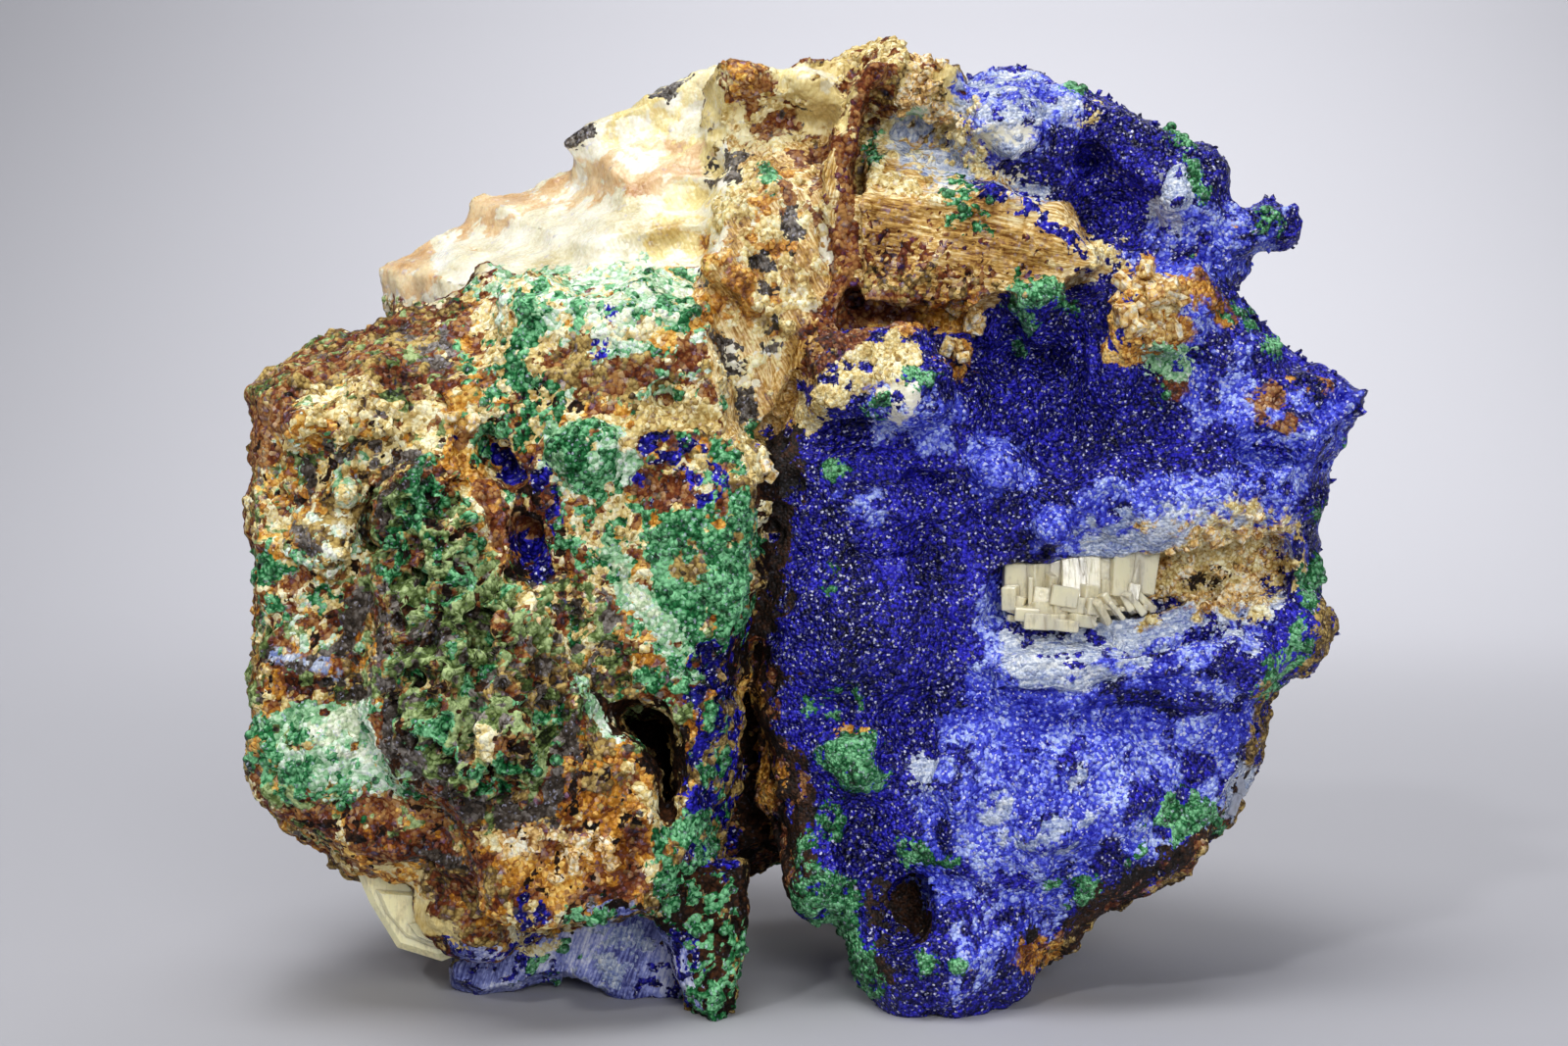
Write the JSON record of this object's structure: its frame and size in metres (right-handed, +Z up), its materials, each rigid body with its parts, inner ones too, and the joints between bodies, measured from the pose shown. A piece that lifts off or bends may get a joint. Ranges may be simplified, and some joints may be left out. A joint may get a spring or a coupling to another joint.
{
  "type": "azurite specimen",
  "caption": "Mineral specimen: deep blue azurite crust and green malachite on brown limonite matrix, with a leaning white baryte slab on top; rests on a worn underside.",
  "frame": {"origin": "under the middle of the specimen's bounding box, on the plane that it rests on", "axes": "+Z up, +X to the right of the specimen seen from the front, +Y from the front to the back"},
  "size_m": [0.0682, 0.044, 0.0587],
  "materials": {
    "limonite": "earthy, pitted",
    "azurite": "sparkling druse",
    "baryte": "pearly cleavage",
    "fibrous_gangue": "silky, fibrous",
    "iron_oxide": "dull",
    "clear_crystal": "glassy",
    "azurite_dark": "satin",
    "baryte_yellow": "glassy"
  },
  "bodies": {
    "root": {"limonite_matrix": "limonite", "azurite_crust": "azurite", "baryte_slab": "baryte", "fibrous_block": "fibrous_gangue", "limonite_vein": "iron_oxide", "ledge_crystals": "clear_crystal", "azurite_plate": "azurite_dark", "baryte_foot": "baryte_yellow"}
  },
  "joints": []
}
